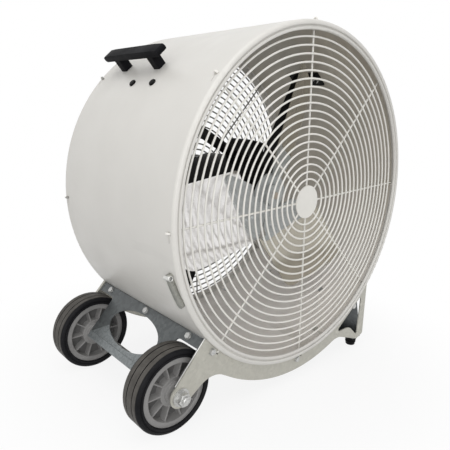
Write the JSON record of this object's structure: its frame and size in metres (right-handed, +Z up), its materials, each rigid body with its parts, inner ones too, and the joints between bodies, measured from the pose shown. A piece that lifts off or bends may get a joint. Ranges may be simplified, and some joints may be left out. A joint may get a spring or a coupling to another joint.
{
  "type": "drum air circulator fan",
  "caption": "Portable drum fan: off-white sheet drum with wire guards and paddle blades on a black motor, in a galvanised cradle with wheels, feet and a lift handle.",
  "frame": {"origin": "on the floor, under the middle of the overall box", "axes": "+Z up, the fan blows towards -Y, wheels on the -X side and feet on the +X side"},
  "size_m": [0.7908, 0.44, 0.7979],
  "materials": {
    "drum_paint": "smooth off-white powder coat",
    "guard_paint": "off-white powder coat on wire",
    "galvanised": "galvanised sheet, faint spangle",
    "galvanised_dark": "galvanised sheet, duller",
    "zinc": "bright zinc plating",
    "black_bolts": "black oxide",
    "chrome": "polished",
    "motor_paint": "satin black paint",
    "steel": "turned steel",
    "spider_zinc": "bluish zinc plating",
    "blade_aluminium": "mill-finish sheet",
    "tyre_rubber": "solid black rubber",
    "rim_plastic": "moulded grey",
    "bush_plastic": "natural nylon",
    "foot_rubber": "moulded black",
    "handle_plastic": "moulded black",
    "switch_plastic": "moulded black",
    "knob_plastic": "moulded black"
  },
  "bodies": {
    "frame": {"drum_housing": "drum_paint", "front_guard_rings": "guard_paint", "front_guard_spokes": "guard_paint", "front_guard_hub_plate": "guard_paint", "rear_guard_rings": "guard_paint", "rear_guard_spokes": "guard_paint", "rear_guard_hub_plate": "guard_paint", "front_panel": "galvanised", "rear_panel": "galvanised", "guard_clips": "galvanised", "front_saddle": "galvanised", "rear_saddle": "galvanised", "wheel_side_rail": "galvanised", "foot_side_rail": "galvanised", "wheel_bracket": "galvanised_dark", "foot_bracket": "galvanised_dark", "axle_washers": "zinc", "axle_nuts": "zinc", "wheel_bracket_bolts": "zinc", "panel_bolts": "zinc", "cradle_bolts": "zinc", "foot_screws": "zinc", "base_nuts": "zinc", "handle_screws": "zinc", "switch_screws": "zinc", "motor_mount_nuts": "zinc", "axle": "zinc", "axle_spacers": "zinc", "motor_mount_bolts": "black_bolts", "guard_clip_rolls": "chrome", "motor_shell": "motor_paint", "motor_front_bell": "motor_paint", "motor_rear_bell": "motor_paint", "motor_mount_band": "motor_paint", "motor_mount_arms": "motor_paint", "capacitor_cover": "motor_paint", "motor_bearings": "steel", "rubber_feet": "foot_rubber", "lift_handle": "handle_plastic", "switch_box": "switch_plastic", "switch_cover": "switch_plastic", "cable_gland": "switch_plastic", "motor_conduit": "switch_plastic"},
    "rotor": {"motor_shaft": "steel", "propeller_hub": "spider_zinc", "propeller_spider": "spider_zinc", "propeller_blade_1": "blade_aluminium", "propeller_blade_2": "blade_aluminium", "propeller_blade_3": "blade_aluminium", "propeller_rivets": "spider_zinc", "propeller_set_screw": "steel"},
    "front_wheel": {"front_wheel_tyre": "tyre_rubber", "front_wheel_rim": "rim_plastic", "front_wheel_bush": "bush_plastic"},
    "rear_wheel": {"rear_wheel_tyre": "tyre_rubber", "rear_wheel_rim": "rim_plastic", "rear_wheel_bush": "bush_plastic"},
    "switch_knob": {"switch_knob": "knob_plastic"}
  },
  "joints": [
    {"name": "rotor_spin", "type": "hinge", "parent": "frame", "child": "rotor", "pos_m": [0.02362, 0, 0.42609], "axis": [0, 1, 0], "continuous": true},
    {"name": "front_wheel_spin", "type": "hinge", "parent": "frame", "child": "front_wheel", "pos_m": [-0.30942, -0.158, 0.086], "axis": [0, 1, 0], "continuous": true},
    {"name": "rear_wheel_spin", "type": "hinge", "parent": "frame", "child": "rear_wheel", "pos_m": [-0.30942, 0.158, 0.086], "axis": [0, 1, 0], "continuous": true},
    {"name": "switch_turn", "type": "hinge", "parent": "frame", "child": "switch_knob", "pos_m": [0.02362, 0.2, 0.42609], "axis": [0, 1, 0], "range_deg": [0, 90]}
  ]
}
